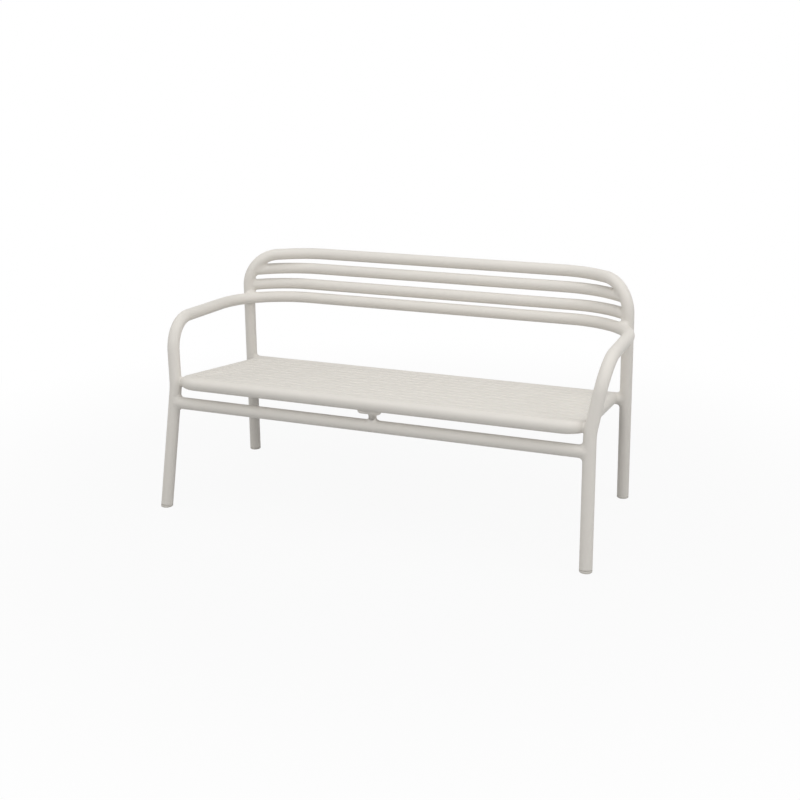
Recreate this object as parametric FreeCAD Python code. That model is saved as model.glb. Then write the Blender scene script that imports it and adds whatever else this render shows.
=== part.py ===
import FreeCAD, Part
import math
import os

from FreeCAD import Vector

# Two-seat stackable outdoor sofa, welded from bent round aluminium tube and powder coated.
# Millimetres. X runs along the seat, +Y to the back, +Z up, floor at Z = 0.
# Heights, widths and depths below are those of the tube axes.

# Round tube of the frame
tube_diameter = 40.0
tube_wall = 2.0
cope_relief = 0.25

# Feet
front_foot_half_width = 722.5
rear_foot_inset = 5.0
rear_foot_y = 265.5
foot_spread = 634.5

# Back hoop: both rear legs and the top rail in one bent tube
top_rail_height = 763.0
shoulder_inset = 16.5
shoulder_forward = 30.5
shoulder_radius = 110.0
bow_inset = 178.5
bow_radius = 225.0

# Back rails, hung below the top rail on a reclined line
back_recline_degrees = 18.9
upper_rail_drop = 53.5
upper_rail_corner_inset = 115.4
upper_rail_radius = 290.0
middle_rail_drop = 109.5
middle_rail_corner_inset = 106.4
middle_rail_radius = 257.0
lower_rail_drop = 157.0
lower_rail_setback = 80.5

# Arms: front leg, armrest and the bend into the lower rail in one tube
knee_inset = 21.0
knee_setback = 66.5
knee_drop = 18.5
knee_radius = 200.0
elbow_outset = 10.0
elbow_setback = 113.0
elbow_rise = 17.0
elbow_radius = 126.0
arm_rear_radius = 235.0
arm_lap_depth = 12.0

# Seat frame and slats
seat_front_height = 428.5
seat_fall = 68.5
seat_front_overhang = 23.5
seat_corner_radius = 60.0
seat_lap_depth = 1.0
side_rail_inset = 45.2
side_rail_setback = 3.0
slat_count = 11
slat_width = 40.0
slat_thickness = 20.0
slat_wall = 2.0
slat_drop = 3.0

# Bearer under the middle of the slats
bearer_width = 30.0
bearer_thickness = 14.0
bearer_wall = 2.0

# Front stretcher and the post near its middle
stretcher_drop = 72.5
post_offset = 15.0
post_diameter = 25.0
post_wall = 2.5
gusset_thickness = 10.0
left_gusset_reach = 28.0
right_gusset_reach = 14.0
gusset_depth = 14.0
gusset_hollow = 0.3

# Foot glides, pushed into the leg ends
glide_flange_height = 8.0
glide_stem_length = 30.0
glide_clearance = 0.2
glide_edge_radius = 2.5

# Weld fillets
leg_weld_radius = 10.0
arm_weld_radius = 8.0
side_weld_radius = 8.0
post_weld_radius = 8.0
lap_weld_radius = 12.0
weld_relief = 0.4

tube_radius = tube_diameter / 2
rail_radius = tube_radius - cope_relief
post_radius = post_diameter / 2
across = Vector(1, 0, 0)
origin = Vector(0, 0, 0)


def mirrored(point):
    """The same point on the left half."""
    return Vector(-point.x, point.y, point.z)


def mirrored_shape(shape):
    return shape.mirror(origin, across)


def bent_path(corners, radii):
    """Straight runs joined by tangent arcs, with one bend radius for each inner corner."""
    edges = []
    start = corners[0]
    for before, corner, after, radius in zip(corners, corners[1:], corners[2:], radii):
        into = (corner - before).normalize()
        out = (after - corner).normalize()
        half_turn = into.getAngle(out) / 2
        setback = radius * math.tan(half_turn)
        bend_start = corner - into * setback
        bend_end = corner + out * setback
        inward = (out - into).normalize()
        centre = corner + inward * (radius / math.cos(half_turn))
        edges.append(Part.LineSegment(start, bend_start).toShape())
        edges.append(Part.Arc(bend_start, centre - inward * radius, bend_end).toShape())
        start = bend_end
    edges.append(Part.LineSegment(start, corners[-1]).toShape())
    return edges


def disc_at_start(edges, radius):
    first = edges[0]
    along = first.tangentAt(first.FirstParameter)
    return Part.Face(Part.Wire(Part.makeCircle(radius, first.valueAt(first.FirstParameter), along)))


def bar(edges, radius):
    """Solid round bar along a path. It also cuts the saddle of whatever meets the tube."""
    return Part.Wire(edges).makePipe(disc_at_start(edges, radius))


def tube(edges, radius, wall):
    """Round tube along a path."""
    ring = disc_at_start(edges, radius).cut(disc_at_start(edges, radius - wall))
    return Part.Wire(edges).makePipe(ring.Faces[0])


def between_legs(shape, right_leg):
    """Saddles both ends of a rail onto a leg and its mirror image."""
    return shape.cut(right_leg).cut(mirrored_shape(right_leg))


def point_at_height(edges, height):
    """Where a rising path crosses a height."""
    for edge in edges:
        low, high = edge.ParameterRange
        if edge.valueAt(low).z <= height <= edge.valueAt(high).z:
            for halving in range(60):
                middle = (low + high) / 2
                if edge.valueAt(middle).z < height:
                    low = middle
                else:
                    high = middle
            return edge.valueAt(low)


def touching_half_width(path_at, first_guess, neighbour, axis_gap):
    """Half width at which a path lies the wanted distance from a neighbour's axis."""
    half_width = first_guess
    for step in range(40):
        gap = Part.Wire(path_at(half_width)).distToShape(neighbour)[0]
        half_width += gap - axis_gap
    return half_width


def below(height):
    """Block of space under a height, for level cuts at the feet."""
    reach = 2 * front_foot_half_width
    return Part.makeBox(2 * reach, 2 * reach, reach, Vector(-reach, -reach, height - reach))


def weld_fillet(main, branch_edges, branch_radius, radius):
    """Concave weld metal round the end of a tube that meets another."""
    joined = main.fuse(bar(branch_edges, branch_radius - weld_relief))
    seam = []
    for edge in joined.Edges:
        if edge.Curve.TypeId not in ("Part::GeomCircle", "Part::GeomLine"):
            seam.append(edge)
    return joined.makeFillet(radius, seam).cut(main).cut(bar(branch_edges, branch_radius))


def lap_weld(first_edges, second_edges, first_bar, second_bar):
    """Weld metal in the narrow space round the spot where two crossing tubes touch."""
    first_point, second_point = Part.Wire(first_edges).distToShape(Part.Wire(second_edges))[1][0]
    along = second_point - first_point
    plug = Part.makeCylinder(lap_weld_radius, along.Length, first_point, along)
    return plug.cut(first_bar).cut(second_bar)


def save(name, shape):
    """One file for each node. Several solids make one group."""
    solids = shape.Solids
    shape = solids[0] if len(solids) == 1 else Part.makeCompound(solids)
    shape.exportStep("parts/" + name + ".step")
    print(name, len(solids), shape.isValid(), round(shape.Volume))


def save_pair(name, shape):
    """A piece on the right and its mirror image on the left."""
    save("right_" + name, shape)
    save("left_" + name, mirrored_shape(shape))


os.makedirs("parts", exist_ok=True)

# Back hoop
rear_foot = Vector(front_foot_half_width - rear_foot_inset, rear_foot_y, 0)
shoulder = Vector(rear_foot.x - shoulder_inset, rear_foot_y - shoulder_forward, top_rail_height)
lower_rail_y = shoulder.y + lower_rail_setback
recline = math.tan(math.radians(back_recline_degrees))
bow = Vector(shoulder.x - bow_inset, lower_rail_y + lower_rail_drop * recline, top_rail_height)
hoop_half = [rear_foot, shoulder, bow]
hoop_corners = hoop_half + [mirrored(point) for point in reversed(hoop_half)]
hoop_path = bent_path(hoop_corners, [shoulder_radius, bow_radius, bow_radius, shoulder_radius])
rear_leg_path = hoop_path[:2]
rear_leg_bar = bar(rear_leg_path, tube_radius)
save("back_hoop", tube(hoop_path, tube_radius, tube_wall).cut(below(glide_flange_height)))

# Arms, each bent round the inner front of its rear leg and notched over it
front_foot = Vector(front_foot_half_width, rear_foot_y - foot_spread, 0)
knee = Vector(front_foot.x - knee_inset, front_foot.y + knee_setback, seat_front_height - knee_drop)
lower_rail_height = top_rail_height - lower_rail_drop
elbow = Vector(front_foot.x + elbow_outset, front_foot.y + elbow_setback, lower_rail_height + elbow_rise)
lower_rail_middle = Vector(0, lower_rail_y, lower_rail_height)


def arm_path_at(rear_half_width):
    rear_corner = Vector(rear_half_width, lower_rail_y, lower_rail_height)
    corners = [front_foot, knee, elbow, rear_corner, lower_rail_middle]
    return bent_path(corners, [knee_radius, elbow_radius, arm_rear_radius])[:-1]


arm_gap = tube_diameter - arm_lap_depth
arm_rear_half_width = touching_half_width(arm_path_at, elbow.x, rear_leg_path[0], arm_gap)
arm_path = arm_path_at(arm_rear_half_width)
front_leg_path = arm_path[:4]
front_leg_bar = bar(front_leg_path, tube_radius)
arm = tube(arm_path, tube_radius, tube_wall).cut(below(glide_flange_height)).cut(rear_leg_bar)
save_pair("arm_and_front_leg", arm)
save_pair("arm_weld", weld_fillet(rear_leg_bar, arm_path[-1:], tube_radius, arm_weld_radius))

# Back rails
rail_end = arm_path[-1].Vertexes[-1].Point
lower_rail_path = [Part.LineSegment(mirrored(rail_end), rail_end).toShape()]
save("lower_back_rail", tube(lower_rail_path, tube_radius, tube_wall))

for name, drop, corner_inset, bend_radius in [
    ("middle_back_rail", middle_rail_drop, middle_rail_corner_inset, middle_rail_radius),
    ("upper_back_rail", upper_rail_drop, upper_rail_corner_inset, upper_rail_radius),
]:
    hoop_point = point_at_height(rear_leg_path, top_rail_height - drop)
    rail_y = lower_rail_y + (lower_rail_drop - drop) * recline
    corner = Vector(hoop_point.x - corner_inset, rail_y, hoop_point.z)
    rail_path = bent_path([mirrored(hoop_point), mirrored(corner), corner, hoop_point], [bend_radius, bend_radius])
    save(name, between_legs(tube(rail_path, rail_radius, tube_wall), rear_leg_bar))

# Seat frame: a rail along each side and along the front in one tube, tilted down to the back
seat_front_leg = point_at_height(front_leg_path, seat_front_height)
seat_rear_leg = point_at_height(rear_leg_path, seat_front_height - seat_fall)
seat_front = Vector(0, seat_front_leg.y - seat_front_overhang, seat_front_height)
seat_rear = Vector(0, seat_rear_leg.y, seat_rear_leg.z)
seat_rear_half_width = seat_rear_leg.x - side_rail_inset
seat_depth = (seat_rear - seat_front).Length
seat_back = (seat_rear - seat_front).normalize()
seat_normal = across.cross(seat_back)


def seat_path_at(half_width):
    rear_end = seat_rear + across * seat_rear_half_width - seat_back * side_rail_setback
    front_corner = seat_front + across * half_width
    corners = [rear_end, front_corner, mirrored(front_corner), mirrored(rear_end)]
    return bent_path(corners, [seat_corner_radius, seat_corner_radius])


seat_gap = tube_diameter - seat_lap_depth
seat_half_width = touching_half_width(seat_path_at, seat_rear_half_width, Part.Wire(front_leg_path), seat_gap)
seat_path = seat_path_at(seat_half_width)
seat_bar = bar(seat_path, tube_radius)
rear_rail_path = [Part.LineSegment(mirrored(seat_rear_leg), seat_rear_leg).toShape()]
rear_rail_bar = bar(rear_rail_path, tube_radius)
seat_frame = tube(seat_path, tube_radius, tube_wall).cut(rear_rail_bar)
save("seat_frame", between_legs(seat_frame, front_leg_bar))
save("seat_rear_rail", between_legs(tube(rear_rail_path, tube_radius, tube_wall), rear_leg_bar))
save_pair("seat_corner_weld", lap_weld(seat_path[:2], front_leg_path, seat_bar, front_leg_bar))
save_pair("rear_rail_weld", weld_fillet(rear_leg_bar, rear_rail_path, tube_radius, leg_weld_radius))
save_pair("side_rail_weld", weld_fillet(rear_rail_bar, seat_path[:1], tube_radius, side_weld_radius))

# Seat slats: flat oval tubes along X between the side rails
slat_pitch = seat_depth / (slat_count + 1)
slat_rise = tube_radius - slat_drop - slat_thickness / 2


def flat_oval(centre, wide, thick, half_length):
    """Bar along X with a flat oval section that lies in the seat's plane."""
    half_flat = seat_back * (wide / 2 - thick / 2)
    lift = seat_normal * (thick / 2)
    tip = seat_back * (wide / 2)
    start = centre - across * half_length
    outline = Part.Wire([
        Part.LineSegment(start - half_flat + lift, start + half_flat + lift).toShape(),
        Part.Arc(start + half_flat + lift, start + tip, start + half_flat - lift).toShape(),
        Part.LineSegment(start + half_flat - lift, start - half_flat - lift).toShape(),
        Part.Arc(start - half_flat - lift, start - tip, start - half_flat + lift).toShape(),
    ])
    return Part.Face(outline).extrude(across * (2 * half_length))


for number in range(1, slat_count + 1):
    share = number / (slat_count + 1)
    side_half_width = seat_half_width + (seat_rear_half_width - seat_half_width) * share
    centre = seat_front + seat_back * (slat_pitch * number) + seat_normal * slat_rise
    slat = flat_oval(centre, slat_width, slat_thickness, side_half_width)
    bore = flat_oval(centre, slat_width - 2 * slat_wall, slat_thickness - 2 * slat_wall, side_half_width)
    save("seat_slat_%02d" % number, slat.cut(bore).cut(seat_bar))

# Bearer from the front rail to the rear rail, under the slats and over the post
bearer_top = slat_rise - slat_thickness / 2


def bearer_block(inset):
    """Box along the seat's depth, drawn in from the bearer's faces by an inset."""
    left_side = post_offset - bearer_width / 2 + inset
    corner = seat_front + across * left_side + seat_normal * (bearer_top - inset)
    width = across * (bearer_width - 2 * inset)
    fall = seat_normal * (2 * inset - bearer_thickness)
    outline = Part.makePolygon([corner, corner + width, corner + width + fall, corner + fall, corner])
    return Part.Face(outline).extrude(seat_back * seat_depth)


bearer_solid = bearer_block(0)
bearer = bearer_solid.cut(bearer_block(bearer_wall)).cut(seat_bar).cut(rear_rail_bar)
save("seat_centre_bearer", bearer)

# Front stretcher between the front legs
stretcher_leg = point_at_height(front_leg_path, seat_front_height - stretcher_drop)
stretcher_path = [Part.LineSegment(mirrored(stretcher_leg), stretcher_leg).toShape()]
stretcher_bar = bar(stretcher_path, tube_radius)
save("front_stretcher", between_legs(tube(stretcher_path, tube_radius, tube_wall), front_leg_bar))
save_pair("stretcher_weld", weld_fillet(front_leg_bar, stretcher_path, tube_radius, leg_weld_radius))

# Post from the stretcher to the front rail, with a hollow-edged gusset on each side of its top
post_foot = Vector(post_offset, stretcher_leg.y, stretcher_leg.z)
post_top = Vector(post_offset, stretcher_leg.y, seat_front_height + bearer_top - bearer_thickness / 2)
post_path = [Part.LineSegment(post_foot, post_top).toShape()]
post_bar = bar(post_path, post_radius)
post = tube(post_path, post_radius, post_wall)
save("centre_post", post.cut(stretcher_bar).cut(seat_bar).cut(bearer_solid))
save("post_weld", weld_fillet(stretcher_bar, post_path, post_radius, post_weld_radius))

gusset_tip_height = seat_front_height - tube_radius
gusset_foot_height = gusset_tip_height - gusset_depth
gusset_dip_height = gusset_tip_height - gusset_depth * gusset_hollow


def gusset(reach, side):
    """Plate beside the post under the front rail, its lower edge hollowed. Side is 1 for the right."""

    def corner(out, height):
        return Vector(post_offset + side * out, post_foot.y - gusset_thickness / 2, height)

    foot = corner(post_radius, gusset_foot_height)
    dip = corner(post_radius + reach * gusset_hollow, gusset_dip_height)
    tip = corner(post_radius + reach, gusset_tip_height)
    outer_top = corner(post_radius + reach, post_top.z)
    inner_top = corner(0, post_top.z)
    inner_foot = corner(0, gusset_foot_height)
    outline = Part.Wire([
        Part.LineSegment(inner_foot, foot).toShape(),
        Part.Arc(foot, dip, tip).toShape(),
        Part.LineSegment(tip, outer_top).toShape(),
        Part.LineSegment(outer_top, inner_top).toShape(),
        Part.LineSegment(inner_top, inner_foot).toShape(),
    ])
    plate = Part.Face(outline).extrude(Vector(0, gusset_thickness, 0))
    return plate.cut(seat_bar).cut(post_bar).cut(bearer_solid)


save("left_post_gusset", gusset(left_gusset_reach, -1))
save("right_post_gusset", gusset(right_gusset_reach, 1))

# Foot glides
stem_radius = tube_radius - tube_wall - glide_clearance
for end_name, foot, leg_edge in [("front", front_foot, front_leg_path[0]), ("rear", rear_foot, rear_leg_path[0])]:
    lean = leg_edge.tangentAt(leg_edge.FirstParameter)
    stem_length = glide_flange_height / lean.z + glide_stem_length
    flange = Part.makeCylinder(tube_radius, 2 * tube_diameter, foot - lean * tube_diameter, lean)
    flange = flange.cut(below(0)).common(below(glide_flange_height))
    floor_edges = [edge for edge in flange.Edges if edge.BoundBox.ZMax < glide_edge_radius]
    flange = flange.makeFillet(glide_edge_radius, floor_edges)
    stem = Part.makeCylinder(stem_radius, stem_length, foot, lean).cut(below(glide_flange_height))
    save_pair(end_name + "_glide", flange.fuse(stem))
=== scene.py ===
import math

import bpy
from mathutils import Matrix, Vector


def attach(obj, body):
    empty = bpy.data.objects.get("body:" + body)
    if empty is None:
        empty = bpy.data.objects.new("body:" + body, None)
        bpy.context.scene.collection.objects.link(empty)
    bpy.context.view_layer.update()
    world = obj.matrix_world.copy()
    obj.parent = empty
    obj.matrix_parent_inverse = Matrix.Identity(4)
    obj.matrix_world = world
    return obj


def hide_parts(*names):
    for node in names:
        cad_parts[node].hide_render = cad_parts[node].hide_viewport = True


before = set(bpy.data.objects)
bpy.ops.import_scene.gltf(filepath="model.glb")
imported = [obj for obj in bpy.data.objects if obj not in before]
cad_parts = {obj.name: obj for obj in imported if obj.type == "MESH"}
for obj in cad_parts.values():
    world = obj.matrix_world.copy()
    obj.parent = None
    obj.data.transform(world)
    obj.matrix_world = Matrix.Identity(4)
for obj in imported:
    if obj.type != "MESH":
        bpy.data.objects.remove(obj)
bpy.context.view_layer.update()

# Back hoop. One 40 mm aluminium tube makes both rear legs and the top rail of the back.
# It is bent cold on a tube bender at the two shoulders and again where the top rail bows back,
# then blasted and powder coated in a warm off-white with a fine matt texture.
tube_radius = 0.020
tube_wall = 0.002
tube_sides = 48
degrees_per_step = 3
fewest_steps = 6
shortest_run = 0.0005
merge_distance = 0.00001
crease_angle = math.radians(40)
coat_colour = (0.735, 0.704, 0.655)
coat_mottle = 0.025
coat_roughness = 0.46
coat_shine = 0.42
coat_texture = 0.10
texture_depth = 0.0003


class Socket:
    """A shader socket that takes part in plain arithmetic, each operator adding its Math node."""

    def __init__(self, tree, socket):
        self.tree = tree
        self.socket = socket

    def node(self, kind, settings=None, output=0, **inputs):
        """Adds a node, sets it up, fills its sockets and hands back one of its outputs.
        An input is named as Blender names it, or i and its number where names repeat."""
        node = self.tree.nodes.new(kind)
        for key, value in (settings or {}).items():
            setattr(node, key, value)
        for key, value in inputs.items():
            place = int(key[1:]) if key[1:].isdigit() else key.replace("_", " ")
            if isinstance(value, Socket):
                self.tree.links.new(value.socket, node.inputs[place])
            else:
                node.inputs[place].default_value = value
        return Socket(self.tree, node.outputs[output])

    def maths(self, operation, first, second=0.0):
        return self.node("ShaderNodeMath", {"operation": operation}, i0=first, i1=second)

    def noise(self, scale, detail, roughness):
        """A noise pattern drawn on these coordinates."""
        return self.node("ShaderNodeTexNoise", Vector=self, Scale=scale, Detail=detail,
                         Roughness=roughness)

    def feeds(self, target):
        self.tree.links.new(self.socket, target)

    def __add__(self, other):
        return self.maths("ADD", self, other)

    def __radd__(self, other):
        return self.maths("ADD", other, self)

    def __sub__(self, other):
        return self.maths("SUBTRACT", self, other)

    def __rsub__(self, other):
        return self.maths("SUBTRACT", other, self)

    def __mul__(self, other):
        return self.maths("MULTIPLY", self, other)

    def __rmul__(self, other):
        return self.maths("MULTIPLY", other, self)


def new_material(name):
    """An empty material with its shader, and the Object coordinates to draw patterns on."""
    material = bpy.data.materials.new(name)
    material.use_nodes = True
    tree = material.node_tree
    shader = tree.nodes["Principled BSDF"]
    place = tree.nodes.new("ShaderNodeTexCoord").outputs["Object"]
    return material, shader, Socket(tree, place)


def shades(colour, share):
    """The darker and the paler shade that a surface colour drifts between."""
    deep = tuple(part * (1 - share) for part in colour) + (1.0,)
    pale = tuple(part * (1 + share) for part in colour) + (1.0,)
    return deep, pale


def powder_coat(name):
    """Matt powder coat: soft mottling, a fine sandy tooth and the shallow peel of melted powder."""
    material, shader, place = new_material(name)
    mottle = place.noise(scale=7.0, detail=3.0, roughness=0.6)
    speck = place.noise(scale=900.0, detail=1.0, roughness=0.5)
    peel = place.noise(scale=260.0, detail=2.0, roughness=0.5)
    tooth = place.node("ShaderNodeTexVoronoi", Vector=place, Scale=1500.0)
    deep, pale = shades(coat_colour, coat_mottle)
    tint = place.node("ShaderNodeMix", {"data_type": "RGBA"}, output=2,
                      i0=mottle * 0.7 + speck * 0.5 - 0.1, i6=deep, i7=pale)
    tint.feeds(shader.inputs["Base Color"])
    rough = coat_roughness + mottle * 0.1 + tooth * 0.12
    rough.feeds(shader.inputs["Roughness"])
    bump = place.node("ShaderNodeBump", Strength=coat_texture, Distance=texture_depth,
                      Height=peel * 0.7 + tooth * 0.3)
    bump.feeds(shader.inputs["Normal"])
    shader.inputs["Specular IOR Level"].default_value = coat_shine
    return material


def mirrored(point):
    """The matching point on the other side of the bench."""
    return Vector((-point.x, point.y, point.z))


def both_sides(half):
    """A run of corners from one side, carried on to its mirror image on the other."""
    return half + [mirrored(point) for point in reversed(half)]


def bent_tube(name, corners, bends, radius=tube_radius, solid=False):
    """Pushes a ring of tube along each straight run and spins it round each bend."""
    bpy.ops.object.select_all(action="DESELECT")
    heading = (corners[1] - corners[0]).normalized()
    turned = heading.to_track_quat("Z", "Y").to_euler()
    bpy.ops.mesh.primitive_circle_add(vertices=tube_sides, radius=radius,
                                      location=corners[0], rotation=turned)
    piece = bpy.context.object
    piece.name = name
    bpy.ops.object.transform_apply(location=True, rotation=True, scale=True)
    bpy.ops.object.mode_set(mode="EDIT")
    bpy.ops.mesh.select_all(action="SELECT")
    here = corners[0]
    for before, corner, after, bend in zip(corners, corners[1:], corners[2:], bends):
        into = (corner - before).normalized()
        out = (after - corner).normalized()
        turn = into.angle(out)
        setback = bend * math.tan(turn / 2)
        bend_start = corner - into * setback
        centre = corner + (out - into).normalized() * (bend / math.cos(turn / 2))
        bpy.ops.mesh.extrude_region_move(TRANSFORM_OT_translate={"value": bend_start - here})
        steps = max(fewest_steps, round(math.degrees(turn) / degrees_per_step))
        bpy.ops.mesh.spin(steps=steps, angle=-turn, center=centre,
                          axis=into.cross(out).normalized())
        here = corner + out * setback
    last_run = corners[-1] - here
    if last_run.length > shortest_run:
        bpy.ops.mesh.extrude_region_move(TRANSFORM_OT_translate={"value": last_run})
    bpy.ops.mesh.select_all(action="SELECT")
    bpy.ops.mesh.remove_doubles(threshold=merge_distance)
    if solid:
        bpy.ops.mesh.fill_holes(sides=0)
    bpy.ops.mesh.normals_make_consistent(inside=False)
    bpy.ops.object.mode_set(mode="OBJECT")
    if not solid:
        wall = piece.modifiers.new("tube wall", "SOLIDIFY")
        wall.thickness = tube_wall
        wall.offset = -1
        bpy.ops.object.modifier_apply(modifier=wall.name)
        bpy.ops.object.shade_smooth_by_angle(angle=crease_angle)
    return piece


def fit_piece(piece, material, *nodes, slot="powder_coat"):
    """Gives a finished piece its finish, and its place on the frame."""
    piece.data.materials.clear()
    piece.data.materials.append(material)
    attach(piece, "root")
    if nodes:
        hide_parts(*nodes)


coat = powder_coat("warm_white_powder_coat")
foot_cut = 0.008
rear_foot = Vector((0.7175, 0.2655, 0.0))
hoop_shoulder = Vector((0.7010, 0.2350, 0.7630))
top_rail_bow = Vector((0.5225, 0.36925, 0.7630))
shoulder_bend = 0.110
bow_bend = 0.225
rear_leg_lean = (hoop_shoulder - rear_foot).normalized()
rear_leg_end = rear_foot + rear_leg_lean * (foot_cut / rear_leg_lean.z)
hoop_run = both_sides([rear_leg_end, hoop_shoulder, top_rail_bow])
hoop_bends = [shoulder_bend, bow_bend, bow_bend, shoulder_bend]
hoop = bent_tube("hoop_tube", hoop_run, hoop_bends)
fit_piece(hoop, coat, "back_hoop")

# Arms. Each front leg, armrest and rear bend is one tube, bent at the knee, the elbow and the back.
# The rear bend is notched over the inner front of the rear leg, and welded to it all round.
front_foot = Vector((0.7225, -0.3690, 0.0))
knee = Vector((0.7015, -0.3025, 0.4100))
elbow = Vector((0.7325, -0.2560, 0.6230))
arm_back_corner = Vector((0.73002, 0.3155, 0.6060))
lower_rail_end = Vector((0.49606, 0.3155, 0.6060))
knee_bend = 0.200
elbow_bend = 0.126
arm_back_bend = 0.235
front_leg_lean = (knee - front_foot).normalized()
front_leg_end = front_foot + front_leg_lean * (foot_cut / front_leg_lean.z)
arm_run = [front_leg_end, knee, elbow, arm_back_corner, lower_rail_end]
arm_bends = [knee_bend, elbow_bend, arm_back_bend]
right_arm = bent_tube("right_arm_tube", arm_run, arm_bends)
fit_piece(right_arm, coat, "right_arm_and_front_leg")
left_arm = bent_tube("left_arm_tube", [mirrored(point) for point in arm_run], arm_bends)
fit_piece(left_arm, coat, "left_arm_and_front_leg")

# Back rails. The lowest is a straight tube butt welded between the two arms and ground flush.
# The two above it are bent forward near their ends, saddled onto the hoop and welded all round.
saddle_relief = 0.00025
rail_radius = tube_radius - saddle_relief
middle_rail_end = Vector((0.70336, 0.23938, 0.6535))
middle_rail_corner = Vector((0.59696, 0.33176, 0.6535))
middle_rail_bend = 0.257
upper_rail_end = Vector((0.68939, 0.24674, 0.7095))
upper_rail_corner = Vector((0.57399, 0.35094, 0.7095))
upper_rail_bend = 0.290
lower_rail = bent_tube("lower_rail_tube", [mirrored(lower_rail_end), lower_rail_end], [])
fit_piece(lower_rail, coat, "lower_back_rail")
middle_rail_run = both_sides([middle_rail_end, middle_rail_corner])
middle_rail_bends = [middle_rail_bend, middle_rail_bend]
middle_rail = bent_tube("middle_rail_tube", middle_rail_run, middle_rail_bends, radius=rail_radius)
fit_piece(middle_rail, coat, "middle_back_rail")
upper_rail_run = both_sides([upper_rail_end, upper_rail_corner])
upper_rail_bends = [upper_rail_bend, upper_rail_bend]
upper_rail = bent_tube("upper_rail_tube", upper_rail_run, upper_rail_bends, radius=rail_radius)
fit_piece(upper_rail, coat, "upper_back_rail")

# Seat frame. One tube is bent into a U for the front and side rails of the seat.
# It slopes down to the back, where its ends are saddled onto a straight rail between the rear legs.
seat_front = Vector((0, -0.32196, 0.4285))
seat_rear = Vector((0, 0.25111, 0.3600))
seat_front_half_width = 0.67272
seat_rear_half_width = 0.6645
seat_corner_bend = 0.060
side_rail_setback = 0.003
rear_rail_end = Vector((0.70971, 0.25111, 0.3600))
seat_back = (seat_rear - seat_front).normalized()
seat_normal = Vector((1, 0, 0)).cross(seat_back)
side_rail_end = seat_rear + Vector((seat_rear_half_width, 0, 0)) - seat_back * side_rail_setback
seat_corner = seat_front + Vector((seat_front_half_width, 0, 0))
seat_run = both_sides([side_rail_end, seat_corner])
seat_bends = [seat_corner_bend, seat_corner_bend]
seat_frame = bent_tube("seat_frame_tube", seat_run, seat_bends)
fit_piece(seat_frame, coat, "seat_frame")
rear_rail_run = [mirrored(rear_rail_end), rear_rail_end]
rear_rail = bent_tube("seat_rear_rail_tube", rear_rail_run, [])
fit_piece(rear_rail, coat, "seat_rear_rail")

# Seat slats. Flat oval tubes lie side by side across the seat with a finger's gap between them.
# They are sawn to length, let into the side rails just below the tube tops and welded from below.
slat_count = 11
slat_width = 0.040
slat_thickness = 0.020
slat_drop = 0.003
slat_end_gap = 0.002
slat_round_steps = 10
slat_merge_distance = 0.00005
slat_rise = tube_radius - slat_drop - slat_thickness / 2
slat_pitch = (seat_rear - seat_front).length / (slat_count + 1)
slat_narrowing = (seat_front_half_width - seat_rear_half_width) / (slat_count + 1)
first_half_length = seat_front_half_width - slat_narrowing - slat_end_gap
first_place = seat_front + seat_back * slat_pitch + seat_normal * slat_rise
seat_slope = seat_back.to_track_quat("Y", "Z").to_euler()
bpy.ops.object.select_all(action="DESELECT")
bpy.ops.mesh.primitive_cube_add(size=1, location=first_place, rotation=seat_slope)
first_slat = bpy.context.object
first_slat.name = "slat_01"
first_slat.scale = (2 * first_half_length, slat_width, slat_thickness)
bpy.ops.object.transform_apply(location=False, rotation=False, scale=True)
bpy.ops.object.mode_set(mode="EDIT")
bpy.ops.mesh.select_all(action="DESELECT")
bpy.ops.object.mode_set(mode="OBJECT")
for edge in first_slat.data.edges:
    one_end, other_end = (first_slat.data.vertices[index].co for index in edge.vertices)
    edge.select = abs(one_end.x - other_end.x) > first_half_length
bpy.ops.object.mode_set(mode="EDIT")
bpy.ops.mesh.bevel(offset=slat_thickness / 2, segments=slat_round_steps, affect="EDGES",
                   clamp_overlap=False)
bpy.ops.mesh.select_all(action="SELECT")
bpy.ops.mesh.remove_doubles(threshold=slat_merge_distance)
bpy.ops.mesh.normals_make_consistent(inside=False)
bpy.ops.object.mode_set(mode="OBJECT")
bpy.ops.object.transform_apply(location=True, rotation=True, scale=True)
bpy.ops.object.shade_smooth_by_angle(angle=crease_angle)
for number in range(2, slat_count + 1):
    bpy.ops.object.select_all(action="DESELECT")
    first_slat.select_set(True)
    bpy.context.view_layer.objects.active = first_slat
    bpy.ops.object.duplicate()
    slat = bpy.context.object
    slat.name = "slat_%02d" % number
    slat.scale.x = 1 - slat_narrowing * (number - 1) / first_half_length
    slat.location = seat_back * (slat_pitch * (number - 1))
    bpy.ops.object.transform_apply(location=True, rotation=True, scale=True)
    fit_piece(slat, coat, "seat_slat_%02d" % number)
fit_piece(first_slat, coat, "seat_slat_01")

# Stretcher. A straight tube between the front legs keeps them apart below the seat.
# Its ends are saddled onto the legs and welded all round.
stretcher_end = Vector((0.70427, -0.31126, 0.3560))
stretcher_run = [mirrored(stretcher_end), stretcher_end]
stretcher = bent_tube("stretcher_tube", stretcher_run, [])
fit_piece(stretcher, coat, "front_stretcher")

# Bearer, post and gussets. A flat oval bearer under the slats stops them sagging in the middle.
# A short post between the stretcher and the front of the seat carries it, with a gusset plate
# on each side of its top. All are cut from aluminium, welded in and coated with the frame.
node_crease_angle = math.radians(35)
post_offset = 0.015
post_radius = 0.0125
gusset_thickness = 0.010
gusset_bottom = 0.3945
gusset_top = 0.4140
gusset_corner = 0.011
gusset_corner_steps = 4
gusset_edge = 0.0012
gusset_edge_steps = 2
left_gusset_reach = 0.038
right_gusset_reach = 0.016


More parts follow.
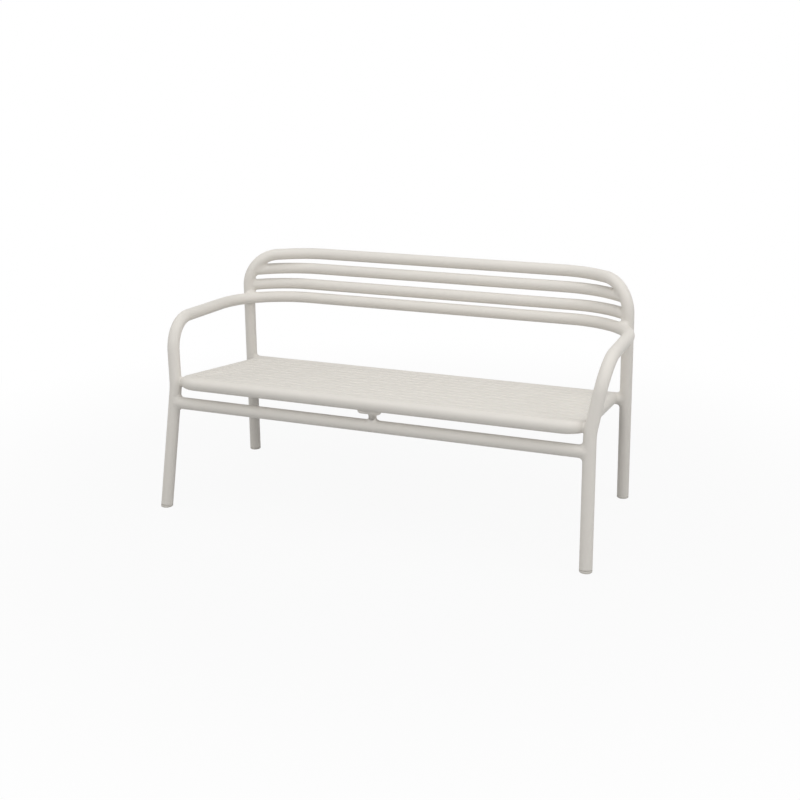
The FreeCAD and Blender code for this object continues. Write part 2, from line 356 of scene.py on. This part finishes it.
def merged_copy(node, name):
    """A piece with the node's own shape and its loose triangles joined up."""
    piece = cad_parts[node].copy()
    piece.data = piece.data.copy()
    piece.name = name
    piece.parent = None
    for key in list(piece.keys()):
        del piece[key]
    bpy.context.scene.collection.objects.link(piece)
    bpy.ops.object.select_all(action="DESELECT")
    piece.select_set(True)
    bpy.context.view_layer.objects.active = piece
    bpy.ops.object.mode_set(mode="EDIT")
    bpy.ops.mesh.select_all(action="SELECT")
    bpy.ops.mesh.remove_doubles(threshold=merge_distance)
    bpy.ops.object.mode_set(mode="OBJECT")
    bpy.ops.object.shade_smooth_by_angle(angle=node_crease_angle)
    return piece


def gusset_plate(name, side, reach):
    """A plate from the middle of the post outwards, its outer lower corner rounded off."""
    length = post_radius + reach
    bpy.ops.object.select_all(action="DESELECT")
    middle = (post_offset + side * length / 2, stretcher_end.y, (gusset_bottom + gusset_top) / 2)
    bpy.ops.mesh.primitive_cube_add(size=1, location=middle)
    plate = bpy.context.object
    plate.name = name
    plate.scale = (length, gusset_thickness, gusset_top - gusset_bottom)
    bpy.ops.object.transform_apply(location=True, rotation=True, scale=True)
    bpy.ops.object.mode_set(mode="EDIT")
    bpy.ops.mesh.select_all(action="DESELECT")
    bpy.ops.object.mode_set(mode="OBJECT")
    for edge in plate.data.edges:
        ends = [plate.data.vertices[index].co for index in edge.vertices]
        outer = all(side * (end.x - middle[0]) > 0 for end in ends)
        edge.select = outer and all(end.z < middle[2] for end in ends)
    bpy.ops.object.mode_set(mode="EDIT")
    bpy.ops.mesh.bevel(offset=gusset_corner, segments=gusset_corner_steps, affect="EDGES")
    bpy.ops.object.mode_set(mode="OBJECT")
    soften = plate.modifiers.new("soften", "BEVEL")
    soften.width = gusset_edge
    soften.segments = gusset_edge_steps
    bpy.ops.object.modifier_apply(modifier=soften.name)
    bpy.ops.object.shade_smooth_by_angle(angle=crease_angle)
    return plate


for node in ("seat_centre_bearer", "centre_post"):
    fit_piece(merged_copy(node, node + "_coated"), coat, node)
gussets = [
    ("left_post_gusset", -1, left_gusset_reach),
    ("right_post_gusset", 1, right_gusset_reach),
]
for node, side, reach in gussets:
    fit_piece(gusset_plate(node + "_plate", side, reach), coat, node)

# Welds. Each joint is welded all round, filled and dressed, so that one tube flows into the next.
# The filler lies in the creases between the tubes, under the same coat.
filler_voxel = 0.002
filler_rounds = 180
filler_smoothing = 0.5
filler_swell = 0.0006
post_foot_height = 0.3560
post_head_height = 0.4250
post_weld_height = 0.3900
post_weld_reach = 0.060


def dressed_weld(name, joint, reach, lines, extras):
    """Bars along the meeting tubes, with the fillets or plates between them, are fused to one skin,
    which is smoothed until its creases fill up. Elsewhere it draws in, unseen inside the tubes."""
    bars = []
    for run, bends, radius in lines:
        bar = bent_tube(name + "_bar", run, bends, radius=radius + filler_swell, solid=True)
        bpy.ops.object.select_all(action="DESELECT")
        bpy.ops.mesh.primitive_cube_add(size=2, location=joint)
        block = bpy.context.object
        block.scale = reach
        bpy.ops.object.transform_apply(location=True, rotation=True, scale=True)
        near = bar.modifiers.new("near the joint", "BOOLEAN")
        near.operation = "INTERSECT"
        near.object = block
        bpy.context.view_layer.objects.active = bar
        bpy.ops.object.modifier_apply(modifier=near.name)
        bpy.data.objects.remove(block)
        bars.append(bar)
    bpy.ops.object.select_all(action="DESELECT")
    for part in bars + extras:
        part.select_set(True)
    bpy.context.view_layer.objects.active = bars[0]
    bpy.ops.object.join()
    weld = bpy.context.object
    weld.name = name
    fuse = weld.modifiers.new("fuse", "REMESH")
    fuse.mode = "VOXEL"
    fuse.voxel_size = filler_voxel
    bpy.ops.object.modifier_apply(modifier=fuse.name)
    dress = weld.modifiers.new("dress", "SMOOTH")
    dress.factor = filler_smoothing
    dress.iterations = filler_rounds
    bpy.ops.object.modifier_apply(modifier=dress.name)
    bpy.ops.object.shade_smooth()
    return weld


def left_copy(piece, name):
    """The same piece on the left, with its faces turned outwards again."""
    bpy.ops.object.select_all(action="DESELECT")
    piece.select_set(True)
    bpy.context.view_layer.objects.active = piece
    bpy.ops.object.duplicate()
    copy = bpy.context.object
    copy.name = name
    copy.scale.x = -1
    bpy.ops.object.transform_apply(location=True, rotation=True, scale=True)
    bpy.ops.object.mode_set(mode="EDIT")
    bpy.ops.mesh.select_all(action="SELECT")
    bpy.ops.mesh.normals_make_consistent(inside=False)
    bpy.ops.object.mode_set(mode="OBJECT")
    return copy


hoop_line = (hoop_run, hoop_bends, tube_radius)
arm_line = (arm_run, arm_bends, tube_radius)
middle_rail_line = (middle_rail_run, middle_rail_bends, rail_radius)
upper_rail_line = (upper_rail_run, upper_rail_bends, rail_radius)
seat_line = (seat_run, seat_bends, tube_radius)
rear_rail_line = (rear_rail_run, [], tube_radius)
stretcher_line = (stretcher_run, [], tube_radius)
corner_welds = [
    ("back_corner_weld", (0.690, 0.250, 0.665), (0.080, 0.080, 0.105),
     [hoop_line, arm_line, middle_rail_line, upper_rail_line], ["arm_weld"]),
    ("rear_corner_weld", (0.690, 0.225, 0.360), (0.075, 0.075, 0.065),
     [hoop_line, seat_line, rear_rail_line], ["rear_rail_weld", "side_rail_weld"]),
    ("front_corner_weld", (0.690, -0.300, 0.395), (0.070, 0.080, 0.090),
     [arm_line, seat_line, stretcher_line], ["seat_corner_weld", "stretcher_weld"]),
]
for name, joint, reach, lines, nodes in corner_welds:
    fillets = [merged_copy("right_" + node, node + "_fillet") for node in nodes]
    right_weld = dressed_weld("right_" + name, joint, reach, lines, fillets)
    left_weld = left_copy(right_weld, "left_" + name)
    fit_piece(right_weld, coat, *["right_" + node for node in nodes])
    fit_piece(left_weld, coat, *["left_" + node for node in nodes])
post_run = [Vector((post_offset, stretcher_end.y, height))
            for height in (post_foot_height, post_head_height)]
post_lines = [stretcher_line, seat_line, (post_run, [], post_radius)]
post_extras = [merged_copy("post_weld", "post_fillet")]
post_extras += [gusset_plate(node + "_core", side, reach) for node, side, reach in gussets]
post_weld = dressed_weld("post_weld_filler", (post_offset, stretcher_end.y, post_weld_height),
                         (post_weld_reach, post_weld_reach, post_weld_reach),
                         post_lines, post_extras)
fit_piece(post_weld, coat, "post_weld")

# Foot glides. Moulded plastic plugs pushed into the leg ends, in a grey darker than the coat.
# The rim under each leg is rounded and a little scuffed where it slides on the floor.
# The glide grey is the plastic's own off-white, darkened further as painted shade for the shadow
# line under each foot.
glide_colour_and_painted_shade = (0.56, 0.535, 0.49)
glide_scuffing = 0.12
glide_roughness = 0.5
glide_grain = 0.2
glide_plastic, glide_shader, glide_place = new_material("glide_plastic")
grain = glide_place.noise(scale=420.0, detail=3.0, roughness=0.6)
scuff = glide_place.noise(scale=90.0, detail=4.0, roughness=0.7)
worn, fresh = shades(glide_colour_and_painted_shade, glide_scuffing)
glide_tint = glide_place.node("ShaderNodeMix", {"data_type": "RGBA"}, output=2,
                              i0=scuff * 0.8 + 0.3, i6=worn, i7=fresh)
glide_tint.feeds(glide_shader.inputs["Base Color"])
glide_rough = glide_roughness + scuff * 0.2
glide_rough.feeds(glide_shader.inputs["Roughness"])
glide_bump = glide_place.node("ShaderNodeBump", Strength=glide_grain, Distance=texture_depth,
                              Height=grain)
glide_bump.feeds(glide_shader.inputs["Normal"])
for side in ("left", "right"):
    for end in ("front", "rear"):
        node = side + "_" + end + "_glide"
        fit_piece(merged_copy(node, node + "_plug"), glide_plastic, node, slot="glide")

# Studio. A wide pale floor that keeps a faint shadow and fades to white away from the bench,
# an even pale room, and large soft lamps above, to the left, to the right and in front.
floor_size = 60
floor_colour = (0.50, 0.50, 0.50, 1)
floor_roughness = 0.9
floor_shine = 0.1
floor_white_near = 0.93
floor_fade_from = 0.9
floor_fade_to = 2.4
room_colour = (1, 1, 1, 1)
room_strength = 0.39
overhead_watts = 40
left_watts = 14
right_watts = 21
front_watts = 38
lamp_target = Vector((0, 0, 0.4))


def seen_share(maker):
    """One for rays from the camera, and for those that come by a reflection or through glass."""
    camera_ray = maker.node("ShaderNodeLightPath", output="Is Camera Ray")
    glossy_ray = maker.node("ShaderNodeLightPath", output="Is Glossy Ray")
    through_ray = maker.node("ShaderNodeLightPath", output="Is Transmission Ray")
    return maker.maths("MINIMUM", camera_ray + glossy_ray + through_ray, 1.0)


bpy.ops.object.select_all(action="DESELECT")
bpy.ops.mesh.primitive_plane_add(size=floor_size, location=(0, 0, 0))
floor = bpy.context.object
floor.name = "studio_floor"
floor_paint, floor_shader, floor_place = new_material("studio_floor_paint")
floor_tree = floor_paint.node_tree
floor_shader.inputs["Base Color"].default_value = floor_colour
floor_shader.inputs["Roughness"].default_value = floor_roughness
floor_shader.inputs["Specular IOR Level"].default_value = floor_shine
white = floor_tree.nodes.new("ShaderNodeEmission")
away = floor_place.node("ShaderNodeVectorMath", {"operation": "LENGTH"}, output="Value",
                        i0=floor_place)
fade = floor_place.node("ShaderNodeMapRange", {"interpolation_type": "SMOOTHSTEP"}, Value=away,
                        From_Min=floor_fade_from, From_Max=floor_fade_to,
                        To_Min=floor_white_near, To_Max=1.0)
floor_mix = floor_tree.nodes.new("ShaderNodeMixShader")
(seen_share(floor_place) * fade).feeds(floor_mix.inputs[0])
floor_tree.links.new(floor_shader.outputs[0], floor_mix.inputs[1])
floor_tree.links.new(white.outputs[0], floor_mix.inputs[2])
floor_tree.links.new(floor_mix.outputs[0], floor_tree.nodes["Material Output"].inputs["Surface"])
floor.data.materials.append(floor_paint)

room = bpy.data.worlds.new("white_room")
bpy.context.scene.world = room
room.use_nodes = True
room_tree = room.node_tree
room_light = room_tree.nodes["Background"]
room_light.inputs["Color"].default_value = room_colour
room_light.inputs["Strength"].default_value = room_strength
room_white = room_tree.nodes.new("ShaderNodeBackground")
room_white.inputs["Color"].default_value = room_colour
room_mix = room_tree.nodes.new("ShaderNodeMixShader")
seen_share(Socket(room_tree, room_light.outputs[0])).feeds(room_mix.inputs[0])
room_tree.links.new(room_light.outputs[0], room_mix.inputs[1])
room_tree.links.new(room_white.outputs[0], room_mix.inputs[2])
room_tree.links.new(room_mix.outputs[0], room_tree.nodes["World Output"].inputs["Surface"])

lamps = [
    ("overhead_softbox", (0.2, -0.3, 3.2), 3.6, 2.6, overhead_watts),
    ("left_softbox", (-2.8, -1.2, 1.8), 2.0, 2.0, left_watts),
    ("right_softbox", (2.9, -0.6, 1.8), 2.0, 2.0, right_watts),
    ("front_softbox", (0.9, -4.2, 1.9), 3.0, 2.0, front_watts),
]
for name, location, width, height, watts in lamps:
    lamp_data = bpy.data.lights.new(name, "AREA")
    lamp_data.shape = "RECTANGLE"
    lamp_data.size = width
    lamp_data.size_y = height
    lamp_data.energy = watts
    lamp = bpy.data.objects.new(name, lamp_data)
    lamp.location = location
    lamp.rotation_euler = (lamp_target - lamp.location).to_track_quat("-Z", "Y").to_euler()
    bpy.context.scene.collection.objects.link(lamp)

# Camera. It stands to the right of the front, higher than the back, and looks a little down.
# Its lens, in millimetres on a 36 mm sensor, gives the framing of the photograph.
sensor_width = 36.0
lens_length = 51.32
camera_place = (1.3112, -3.4672, 1.4900)
camera_tilt = math.radians(72.92)
camera_turn = math.radians(20.88)
lens_data = bpy.data.cameras.new("photo_camera")
lens_data.sensor_width = sensor_width
lens_data.lens = lens_length
camera = bpy.data.objects.new("photo_camera", lens_data)
camera.location = camera_place
camera.rotation_euler = (camera_tilt, 0, camera_turn)
bpy.context.scene.collection.objects.link(camera)
bpy.context.scene.camera = camera
bpy.context.scene.view_settings.view_transform = "Standard"
